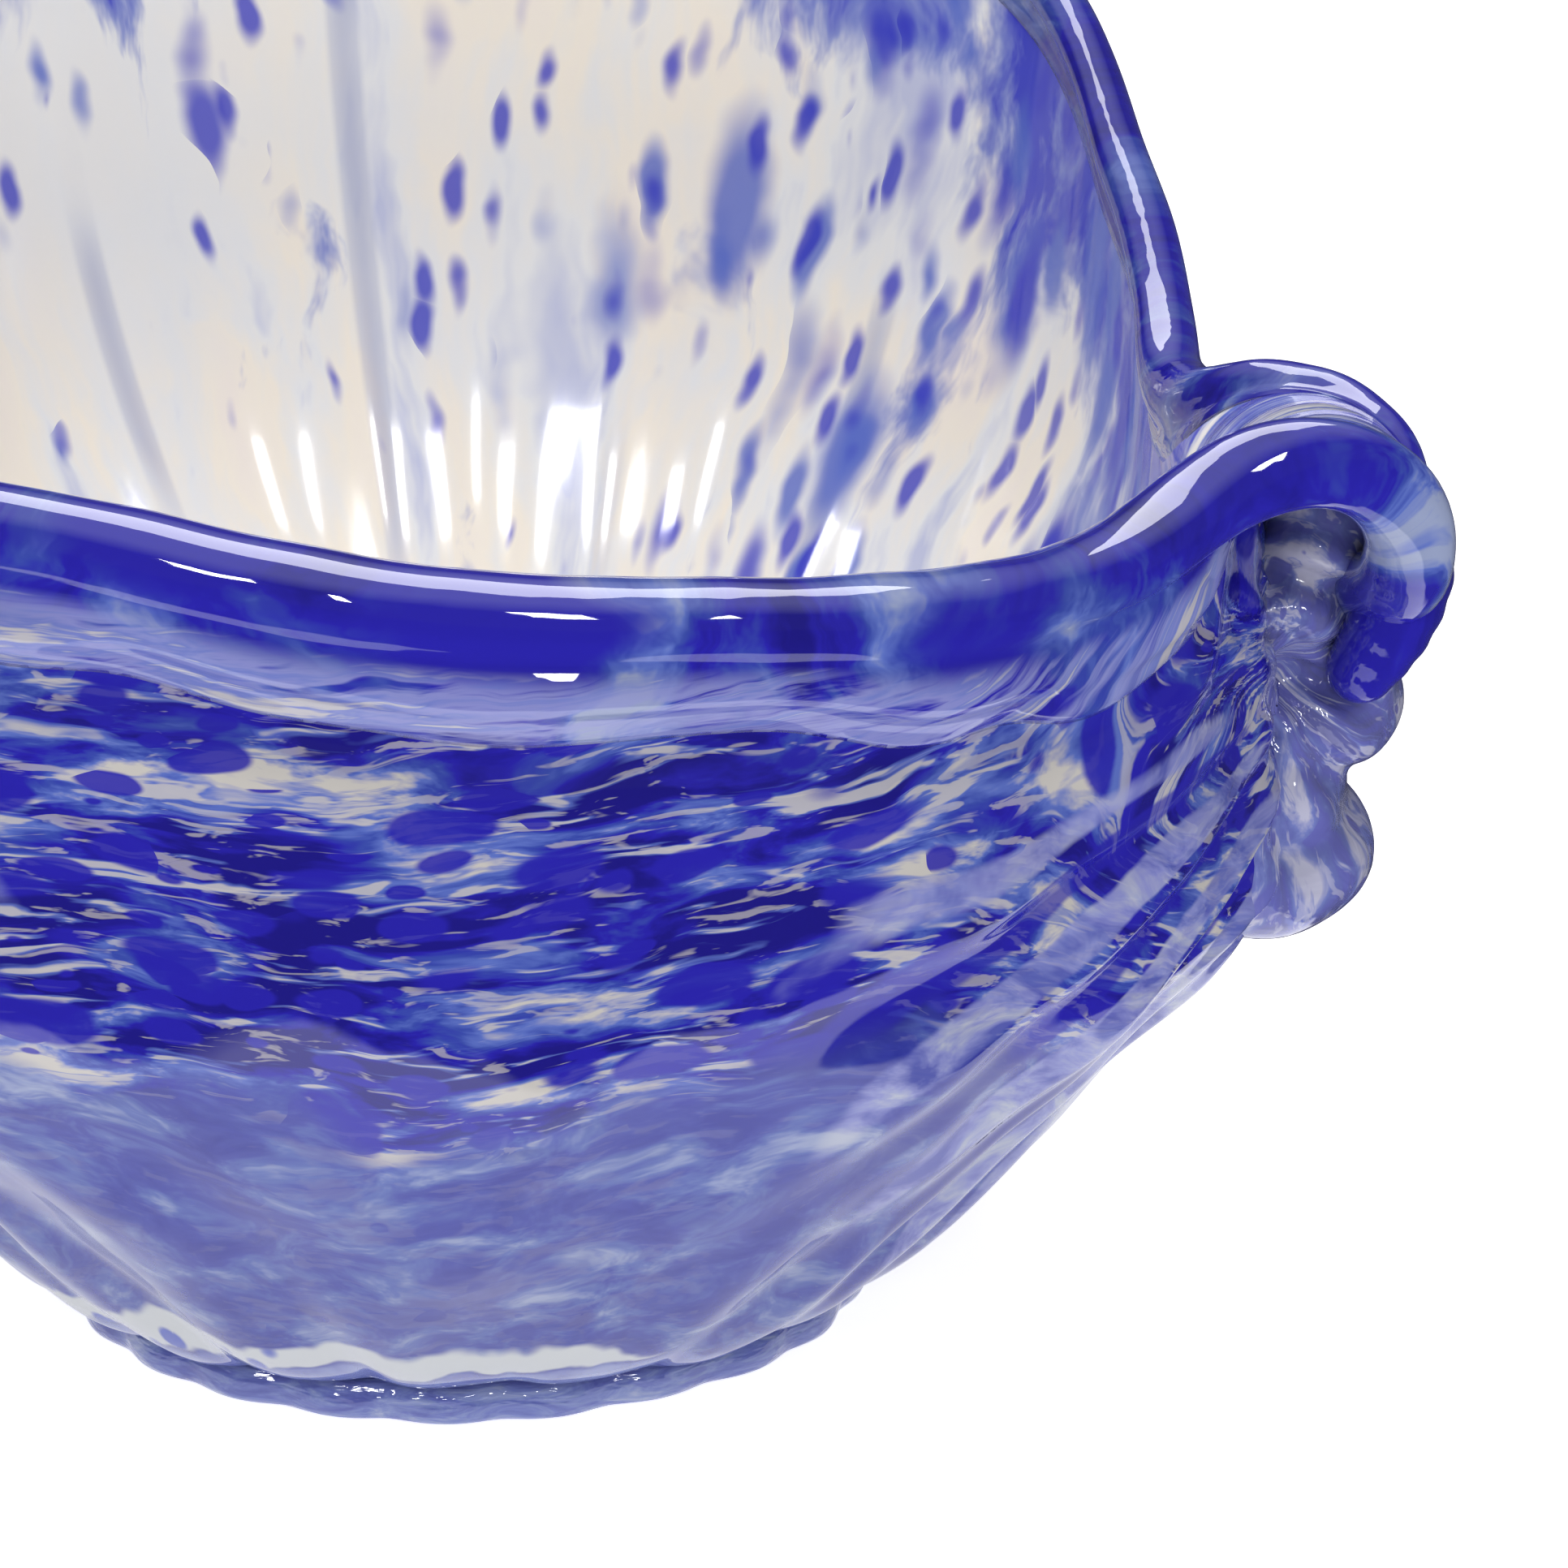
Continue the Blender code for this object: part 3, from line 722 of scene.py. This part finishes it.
class Finish:
    """One Principled shader and the nodes that feed it."""

    def __init__(self, name, roughness, ior, coat):
        self.material = bpy.data.materials.new(name)
        self.material.use_nodes = True
        self.tree = self.material.node_tree
        self.shader = self.tree.nodes["Principled BSDF"]
        for label, value in (("Roughness", roughness), ("IOR", ior), ("Coat Weight", coat),
                             ("Coat Roughness", 0.02), ("Coat IOR", 1.5)):
            self.shader.inputs[label].default_value = value

    def node(self, kind, inputs=None, **settings):
        return add_node(self.tree, kind, inputs, **settings)

    def flow(self, along, shift=(0.0, 0.0, 0.0)):
        """The flow attribute, scaled along the glass and moved by shift."""
        source = self.node("Attribute", attribute_name="flow")
        return self.node("VectorMath", {0: source.outputs["Vector"], 1: (1.0, 1.0, along), 2: shift},
                         operation="MULTIPLY_ADD").outputs[0]

    def attribute(self, name):
        return self.node("Attribute", attribute_name=name).outputs["Fac"]

    def noise(self, vector, scale, detail=4.0, rough=0.55, twist=0.0, kind="Fac"):
        inputs = {"Vector": vector, "Scale": scale, "Detail": detail, "Roughness": rough,
                  "Distortion": twist}
        return self.node("TexNoise", inputs).outputs[kind]

    def warp(self, vector, scale, amount, detail=2.0):
        """Push a vector about by a coloured noise."""
        swirl = self.noise(vector, scale, detail, kind="Color")
        centred = self.node("VectorMath", {0: swirl, 1: (0.5, 0.5, 0.5)}, operation="SUBTRACT")
        return self.node("VectorMath", {0: centred.outputs[0], 1: amount, 2: vector},
                         operation="MULTIPLY_ADD").outputs[0]

    def sprinkle(self, vector, scale, richness, reach, soft):
        """Soft-edged chips: richness is the share of cells that hold one, reach its size."""
        cells = self.node("TexVoronoi", {"Vector": vector, "Scale": scale})
        chance = self.node("SeparateColor", {0: cells.outputs["Color"]}).outputs[0]
        size = self.times(self.step(self.minus(richness, chance), -0.04, 0.45), reach)
        return self.step(self.minus(size, cells.outputs["Distance"]), 0.0, soft)

    def pull(self, vector, along):
        """Scale along the glass only: under 1 draws a pattern out, over 1 lays it round."""
        return self.node("VectorMath", {0: vector, 1: (1.0, 1.0, along)}, operation="MULTIPLY").outputs[0]

    def part(self, vector, axis):
        return self.node("SeparateXYZ", {0: vector}).outputs[axis]

    def step(self, value, low, high):
        """0 below low, 1 above high; low above high turns it over."""
        return self.node("MapRange", {0: value, 1: low, 2: high, 3: 0.0, 4: 1.0},
                         interpolation_type="SMOOTHSTEP").outputs[0]

    def sum(self, first, second, kind="ADD"):
        return self.node("Math", {0: first, 1: second}, operation=kind).outputs[0]

    def times(self, first, second):
        return self.sum(first, second, "MULTIPLY")

    def minus(self, first, second):
        return self.sum(first, second, "SUBTRACT")

    def mix(self, weight, first, second):
        return self.node("Mix", {0: weight, 6: first, 7: second}, data_type="RGBA").outputs[2]

    def lay(self, weight, share, under, over):
        """Lay one colour over another where weight is 1, covering that share of it."""
        return self.mix(self.times(weight, share), under, over)

    def shades(self, value, stops):
        """A colour ramp from (place, colour) stops."""
        ramp = self.node("ValToRGB", {0: value})
        while len(ramp.color_ramp.elements) < len(stops):
            ramp.color_ramp.elements.new(0.5)
        for element, (place, colour) in zip(ramp.color_ramp.elements, stops):
            element.position, element.color = place, colour
        return ramp.outputs[0]

    def ripple(self, height, distance, strength=1.0):
        """Waves in the surface that are too small to model."""
        bump = self.node("Bump", {"Height": height, "Distance": distance, "Strength": strength})
        for socket in ("Normal", "Coat Normal"):
            self.tree.links.new(bump.outputs[0], self.shader.inputs[socket])

    def paint(self, colour):
        self.tree.links.new(colour, self.shader.inputs["Base Color"])

    def dress(self, piece):
        piece.data.materials.clear()
        piece.data.materials.append(self.material)


def srgb(red, green, blue):
    """A colour from 0 to 255 values, in the light units that the shader wants."""
    tone = np.array([red, green, blue]) / 255.0
    tone = np.where(tone <= 0.04045, tone / 12.92, ((tone + 0.055) / 1.055) ** 2.4)
    return (*[float(t) for t in tone], 1.0)


COBALT, DEEP_COBALT, ROYAL = srgb(33, 27, 148), srgb(22, 17, 112), srgb(58, 62, 196)
TEAL, MILK, STEEL = srgb(50, 66, 148), srgb(176, 172, 166), srgb(82, 100, 170)
CREAM, PEARL, LILAC = srgb(252, 243, 226), srgb(240, 240, 238), srgb(130, 134, 182)
SHADOW, PERIWINKLE = srgb(18, 16, 40), srgb(94, 114, 202)
print("shades mixed: 11")

# %% [markdown]
# ## Mottled cobalt casing
#
# Chips of cobalt and cream were rolled on, then the bowl was spun open. That drew the chips
# out round the bowl into wavy threads, with round cobalt specks left between them. Near the
# ears the threads turn into rings and fans, so there the flow attribute was already bent.
# Lower down, a hazy pale zone is painted on as the reflection of the bright table, and the pinched ridges
# below each ear get a painted lit side and a painted shaded side.

# %% Casing finish


def mottled(name, milkiness, shift, milk=MILK):
    """Cobalt body with steel halos, cream threads and round chips; returns the colour too."""
    glass = Finish(name, 0.04, 1.58, 0.75)
    plain = glass.flow(1.0, shift)
    wavy = glass.warp(plain, 36.0, (0.012, 0.012, 0.0095), 3.0)
    clouds = glass.noise(glass.pull(wavy, 2.8), 50.0, 5.0, 0.55, 0.5)
    patches = glass.noise(plain, 17.0, 3.0, 0.5)
    field = glass.sum(clouds, glass.times(patches, 0.42))
    field = glass.sum(field, milkiness)
    body = glass.shades(field, [(0.60, DEEP_COBALT), (0.67, COBALT), (0.73, TEAL), (0.775, STEEL),
                                (0.84, milk)])
    threads = glass.noise(glass.pull(wavy, 5.2), 72.0, 3.0, 0.50, 0.7)
    crowd = glass.sum(glass.times(patches, 0.22), threads)
    halo = glass.step(crowd, 0.632, 0.704)
    core = glass.step(crowd, 0.690, 0.740)
    body = glass.lay(halo, 0.75, body, STEEL)
    body = glass.lay(core, 0.76, body, milk)
    fine = glass.noise(glass.pull(wavy, 4.2), 125.0, 3.0, 0.55, 0.9)
    fine = glass.sum(glass.times(patches, 0.20), fine)
    body = glass.lay(glass.step(fine, 0.655, 0.725), 0.50, body, milk)
    for scale, share, reach in ((80.0, 0.66, 0.46), (125.0, 0.56, 0.47), (200.0, 0.36, 0.47)):
        chips = glass.sprinkle(glass.pull(wavy, 1.55), scale, share, reach, 0.10)
        body = glass.lay(chips, 0.93, body, COBALT)
    seeds = glass.sprinkle(plain, 60.0, 0.10, 0.09, 0.02)
    return glass, glass.mix(seeds, body, SHADOW), plain, wavy


outer, body, plain_flow, wavy_flow = mottled("mottled_cobalt_casing", 0.0, (0, 0, 0))

# %% Painted reflection of the table: a pale hazy zone low on the wall, which climbs towards the ears
ZONE_TOP, ZONE_EDGE, PEAK_HEIGHT, EAR_RISE = 0.1440, 0.0080, 0.036, 0.032
height_up = outer.part(wavy_flow, "Z")
peaks = outer.noise(outer.pull(plain_flow, 0.2), 30.0, 3.0, 0.6)
edge_height = outer.sum(height_up, outer.times(peaks, PEAK_HEIGHT))
to_right = outer.part(plain_flow, "X")
to_side = outer.sum(to_right, 0.0, "ABSOLUTE")
under_ear = outer.times(outer.step(to_side, 0.096, 0.110), EAR_RISE)
edge_height = outer.minus(edge_height, under_ear)
# Painted reflection: below this ragged edge the casing is covered with a pale streaky tone that stands in
# for the bright table mirrored in the lower wall.
table_reflection_zone = outer.step(edge_height, ZONE_TOP + ZONE_EDGE, ZONE_TOP)
painted_light_streaks = outer.noise(outer.pull(wavy_flow, 2.2), 62.0, 4.0, 0.6, 0.6)
reflection_tone = outer.shades(painted_light_streaks, [(0.36, srgb(40, 46, 132)), (0.48, srgb(54, 62, 142)),
                                 (0.58, srgb(78, 94, 154)), (0.70, srgb(136, 146, 174))])
body = outer.lay(table_reflection_zone, 0.90, body, reflection_tone)

# %% Painted light and painted shade on the two sides of each pinched ridge
ragged = outer.noise(wavy_flow, 55.0, 3.0, 0.6)
ragged = outer.times(outer.minus(ragged, 0.5), 0.9)
ridge_side = outer.sum(outer.attribute("groove"), ragged)
painted_lit_side = outer.shades(painted_light_streaks, [(0.38, srgb(84, 90, 158)), (0.52, LILAC),
                                 (0.66, srgb(164, 168, 180))])
painted_shaded_side = outer.mix(table_reflection_zone, COBALT, srgb(44, 46, 130))
# Painted shade in the groove beside each pinched ridge, and painted light on one flank near its crest.
body = outer.lay(outer.step(ridge_side, -0.35, -0.62), 0.78, body, painted_shaded_side)
body = outer.lay(outer.step(ridge_side, 0.38, 0.62), 0.80, body, painted_lit_side)

# %% Cream band and clear heel just above the foot
BAND_LOW, BAND_HIGH, BAND_WAVE, BAND_TAPER = 0.0740, 0.0808, 0.022, 0.0085
edge_noise = outer.noise(plain_flow, 32.0, 3.0, 0.55)
taper = outer.times(outer.step(to_right, 0.020, 0.058), BAND_TAPER)
height_up = outer.sum(height_up, outer.times(outer.minus(edge_noise, 0.5), BAND_WAVE))
over_low = outer.step(height_up, BAND_LOW - 0.0006, BAND_LOW + 0.0006)
under_high = outer.step(outer.sum(height_up, taper), BAND_HIGH + 0.0010, BAND_HIGH - 0.0012)
band = outer.times(over_low, under_high)
dots = outer.sprinkle(plain_flow, 150.0, 0.60, 0.47, 0.16)
dotted = outer.mix(dots, srgb(184, 187, 186), srgb(74, 88, 168))
smears = outer.noise(wavy_flow, 70.0, 3.0, 0.6)
heel = outer.shades(smears, [(0.36, srgb(86, 92, 158)), (0.60, srgb(116, 128, 176))])
body = outer.mix(outer.step(height_up, BAND_LOW, BAND_LOW - 0.002), body, heel)
body = outer.mix(band, body, dotted)
outer.paint(body)
swell = outer.noise(outer.flow(0.7), 55.0, 2.0, 0.4, 0.4)
outer.ripple(swell, 0.0012, 0.5)
outer.dress(casing)

# %% [markdown]
# ## Pearly lining
#
# The lining is an opaque cream glass with a soft pearl to it. Cobalt and steel-blue chips
# sank into it and were pulled long as the back wall was drawn up, more of them near the rim.

# %% Lining finish
inner = Finish("pearly_lining", 0.10, 1.5, 0.5)
inner.shader.inputs["Coat Roughness"].default_value = 0.045
plain_flow = inner.flow(1.0)
soft_flow = inner.warp(plain_flow, 30.0, (0.008, 0.008, 0.004), 3.0)
veils = inner.noise(inner.pull(soft_flow, 0.16), 70.0, 4.0, 0.6, 0.3)
body = inner.shades(veils, [(0.33, srgb(200, 204, 228)), (0.45, PEARL), (0.57, CREAM),
                            (0.70, srgb(250, 240, 228))])
wide = inner.noise(plain_flow, 9.0, 3.0, 0.5)
body = inner.lay(inner.step(wide, 0.48, 0.62), 0.8, body, PEARL)
valley = inner.step(inner.attribute("groove"), -0.44, -0.57)
wander = inner.noise(inner.pull(plain_flow, 0.4), 30.0, 2.0)
valley = inner.times(valley, inner.step(wander, 0.42, 0.60))
body = inner.lay(valley, 0.55, body, srgb(158, 164, 198))

# %% Blue drawn down from the rim, and the chips
below = inner.attribute("below")
right = inner.part(plain_flow, "X")
tongues = inner.noise(inner.pull(soft_flow, 0.24), 66.0, 5.0, 0.62, 0.4)
drip = inner.times(inner.step(below, 0.060, 0.004), 0.24)
drip = inner.sum(drip, inner.times(inner.step(right, 0.00, 0.09), 0.15))
drip = inner.sum(drip, inner.times(wide, 0.30))
drip = inner.sum(drip, tongues)
body = inner.lay(inner.step(drip, 0.80, 0.93), 0.80, body, PERIWINKLE)
body = inner.lay(inner.step(drip, 0.90, 1.02), 0.88, body, ROYAL)
rich = inner.times(inner.step(below, 0.190, 0.010), 0.30)
rich = inner.sum(rich, inner.times(inner.step(right, -0.03, 0.07), 0.70))
rich = inner.sum(rich, inner.times(inner.step(wide, 0.38, 0.62), 0.14))
# scale of the cells, how long the chips are pulled, colour, extra share of cells, size
CHIP_SIZES = ((92.0, 0.19, PERIWINKLE, 0.00, 0.41), (136.0, 0.20, ROYAL, 0.00, 0.40),
              (185.0, 0.20, PERIWINKLE, 0.20, 0.42), (250.0, 0.22, ROYAL, 0.20, 0.42))
for scale, length, colour, add, reach in CHIP_SIZES:
    chips = inner.sprinkle(inner.pull(soft_flow, length), scale,
                           inner.sum(rich, add), reach, 0.26)
    body = inner.lay(chips, 0.88, body, colour)
inner.paint(body)
swell = inner.noise(inner.flow(0.30), 42.0, 2.0, 0.4, 0.3)
inner.ripple(swell, 0.0012, 0.45)
inner.dress(lining)

# %% [markdown]
# ## Cobalt rim wrap
#
# The cord is clearer than the wall, so cloudy teal patches show deep inside it. Where it was
# tooled down on to the wall it is thin and hazy, with fine pulled threads.

# %% Rim wrap finish
wrap = Finish("cobalt_rim_cord", 0.03, 1.6, 0.8)
plain_flow = wrap.flow(1.0)
curly = wrap.warp(plain_flow, 70.0, (0.009, 0.009, 0.006), 3.0)
clouds = wrap.noise(wrap.pull(curly, 0.7), 40.0, 5.0, 0.60, 1.0)
body = wrap.shades(clouds, [(0.40, DEEP_COBALT), (0.50, COBALT), (0.56, TEAL), (0.61, STEEL),
                            (0.67, srgb(132, 142, 170))])
veil = wrap.noise(plain_flow, 26.0, 2.0)
body = wrap.mix(wrap.step(veil, 0.47, 0.37), body, COBALT)
threads = wrap.noise(wrap.pull(curly, 6.5), 46.0, 4.0, 0.6, 0.5)
low_roll = wrap.step(wrap.attribute("below"), 0.31, 0.22)
hazy = wrap.times(wrap.step(threads, 0.36, 0.50), 0.8)
body = wrap.lay(low_roll, hazy, body, LILAC)
drawn_out = wrap.times(wrap.step(threads, 0.50, 0.60), wrap.times(low_roll, 0.62))
body = wrap.mix(drawn_out, body, STEEL)
thin = wrap.times(wrap.step(threads, 0.58, 0.65), wrap.times(low_roll, 0.8))
body = wrap.mix(thin, body, MILK)
seeds = wrap.sprinkle(plain_flow, 75.0, 0.12, 0.10, 0.02)
wrap.paint(wrap.mix(seeds, body, SHADOW))
swell = wrap.noise(plain_flow, 95.0, 2.0, 0.4)
wrap.ripple(swell, 0.0007, 0.6)
for piece in (rim_wrap, right_tail, left_tail):
    wrap.dress(piece)

# %% [markdown]
# ## Crimped bits and pale foot
#
# The bits are hazier than the casing, with milky streaks gathered in by the tweezers, and their milk is
# painted whiter as painted light for the shaded hood under each ear. The foot is a clear pale blue gather
# with a little of the cobalt smeared into it.

# %% Bit and foot finishes
for piece, shift in ((right_bit, (0.31, 0.0, 0.0)), (left_bit, (0.0, 0.27, 0.1))):
    # Painted light: the bits' milk is whiter than the casing's to brighten the hood under each ear, which
    # gets little light.
    bit_glass, bit_body, plain_flow, _ = mottled(piece.name + "_glass", 0.03, shift, srgb(200, 198, 202))
    bit_glass.paint(bit_glass.mix(0.45, bit_body, LILAC))
    swell = bit_glass.noise(plain_flow, 110.0, 3.0, 0.5, 0.8)
    bit_glass.ripple(swell, 0.0010, 0.6)
    bit_glass.dress(piece)

pad = Finish("pale_blue_foot", 0.05, 1.55, 0.7)
plain_flow = pad.flow(1.0)
smears = pad.noise(pad.warp(plain_flow, 30.0, (0.02, 0.02, 0.02)), 60.0, 4.0, 0.6, 1.0)
body = pad.shades(smears, [(0.34, srgb(84, 90, 156)), (0.48, srgb(100, 110, 170)),
                           (0.60, srgb(120, 132, 178)), (0.72, srgb(150, 158, 184))])
pad.paint(body)
pad.ripple(pad.noise(plain_flow, 90.0, 2.0), 0.0010, 0.5)
pad.dress(pale_foot)
print("finishes on pieces:", 6)

# %% [markdown]
# ## Studio
#
# Glass shows its room. The bowl stands on a bright table, so its lower wall carries a pale
# lavender veil; in front of the table the room is dim, so the upper wall stays deep; and a few
# bright panels in front, a third of the way up, give the crisp glints on cord and flutes. A
# round table could be modelled, but one floor that looks dim from afar has no edge to hide.

# %% Table
bpy.context.scene.view_settings.view_transform = "Standard"
TABLE_RADIUS, TABLE_EDGE, EDGE_WANDER, TABLE_SHINE = 0.216, 0.012, 0.09, 0.64
FLOOR_SIZE, FLOOR_GLOW = 16.0, 0.75
deselect()
bpy.ops.mesh.primitive_plane_add(size=FLOOR_SIZE, location=(0.0, 0.0, 0.0))
floor = bpy.context.active_object
floor.name = "studio_floor"
paper = Finish("studio_paper", 0.9, 1.5, 0.0)
for label, value in (("Base Color", (0.86, 0.86, 0.87, 1.0)), ("Emission Color", (1.0, 0.99, 1.0, 1.0)),
                     ("Emission Strength", FLOOR_GLOW)):
    paper.shader.inputs[label].default_value = value
place = paper.node("TexCoord").outputs["Object"]
far = paper.node("VectorMath", {0: place}, operation="LENGTH").outputs["Value"]
edge = paper.sum(paper.times(paper.noise(place, 16.0, 1.0, 0.5), EDGE_WANDER), far)
fade = paper.node("MapRange", {0: edge, 1: TABLE_RADIUS, 2: TABLE_RADIUS + TABLE_EDGE,
                               3: TABLE_SHINE, 4: 0.0}, interpolation_type="SMOOTHSTEP")
glossy = paper.node("LightPath").outputs["Is Glossy Ray"]
dimmed = paper.times(paper.minus(1.0, fade.outputs[0]), glossy)
dim = paper.node("Emission", {"Color": (0.05, 0.05, 0.09, 1.0)})
table = paper.node("MixShader", {0: dimmed, 1: paper.shader.outputs[0], 2: dim.outputs[0]})
paper.tree.links.new(table.outputs[0], paper.tree.nodes["Material Output"].inputs["Surface"])
floor.data.materials.append(paper.material)
print("floor size, metres:", FLOOR_SIZE)

# %% Camera
AIM = Vector((0.051, -0.060, 0.100))
DISTANCE, ELEVATION, LENS = 0.700, 18.0, 110.87
camera = bpy.data.objects.new("camera", bpy.data.cameras.new("camera"))
bpy.context.scene.collection.objects.link(camera)
rise = ELEVATION * pi / 180.0
camera.location = AIM + DISTANCE * Vector((0.0, -np.cos(rise), np.sin(rise)))
camera.rotation_euler = (AIM - camera.location).to_track_quat("-Z", "Y").to_euler()
camera.data.sensor_width, camera.data.lens = 36.0, LENS
camera.data.clip_start, camera.data.clip_end = 0.02, 60.0
bpy.context.scene.camera = camera
print("camera at:", [round(c, 3) for c in camera.location])

# %% [markdown]
# ## Lights
#
# One wide panel overhead fills the inside of the bowl softly. The four small ones in front are
# there for their reflections, which bare lamps would shrink to points.

# %% Overhead and front panels


def softbox(name, place, target, size, power):
    lamp = bpy.data.objects.new(name, bpy.data.lights.new(name, "AREA"))
    lamp.data.shape, lamp.data.size, lamp.data.size_y = "RECTANGLE", size[0], size[1]
    lamp.data.energy = power
    lamp.location = Vector(place)
    lamp.rotation_euler = (Vector(target) - Vector(place)).to_track_quat("-Z", "Y").to_euler()
    bpy.context.scene.collection.objects.link(lamp)


def bearing(azimuth, elevation, distance):
    turn, up = azimuth * pi / 180.0, elevation * pi / 180.0
    return (distance * np.cos(up) * np.cos(turn), distance * np.cos(up) * np.sin(turn),
            distance * np.sin(up))


BOWL_MIDDLE = (0.0, 0.0, 0.1)
# azimuth and elevation in degrees, and the size in metres
FRONT_PANELS = ((-122.0, 31.0, (0.16, 0.30)), (-101.0, 33.0, (0.22, 0.20)), (-84.0, 30.0, (0.10, 0.26)),
                (-62.0, 32.0, (0.18, 0.30)))
softbox("overhead_panel", (0.1, 0.3, 1.9), BOWL_MIDDLE, (1.5, 1.1), 26.0)
for number, (azimuth, elevation, size) in enumerate(FRONT_PANELS):
    softbox(f"front_panel_{number}", bearing(azimuth, elevation, 1.9), BOWL_MIDDLE, size, 3.0)
print("panels:", 1 + len(FRONT_PANELS))

# %% [markdown]
# ## Room
#
# The room is plain white where it is looked at, an even soft grey where it only lights the
# bowl, and dim below and bright above where it is mirrored, as a room with a white ceiling is.

# %% Room
world = bpy.data.worlds.new("room")
bpy.context.scene.world = world
world.use_nodes = True
tree = world.node_tree
for node in list(tree.nodes):
    tree.nodes.remove(node)
upward = add_node(tree, "SeparateXYZ",
                  {0: add_node(tree, "TexCoord").outputs["Generated"]}).outputs["Z"]
ramp = add_node(tree, "ValToRGB", {0: upward})
for element, (height, colour) in zip(ramp.color_ramp.elements, ((0.56, (0.10, 0.10, 0.16, 1.0)),
                                                                (0.84, (0.95, 0.97, 1.0, 1.0)))):
    element.position, element.color = height, colour
looked_at = add_node(tree, "Background", {"Color": (1.0, 1.0, 1.0, 1.0), "Strength": 1.0})
mirrored = add_node(tree, "Background", {"Color": ramp.outputs[0], "Strength": 0.85})
soft = add_node(tree, "Background", {"Color": (0.96, 0.97, 1.0, 1.0), "Strength": 0.42})
path = add_node(tree, "LightPath")
unseen = add_node(tree, "MixShader", {0: path.outputs["Is Glossy Ray"], 1: soft.outputs[0],
                                      2: mirrored.outputs[0]})
choose = add_node(tree, "MixShader", {0: path.outputs["Is Camera Ray"], 1: unseen.outputs[0],
                                      2: looked_at.outputs[0]})
add_node(tree, "OutputWorld", {"Surface": choose.outputs[0]})
print("room nodes:", len(tree.nodes))
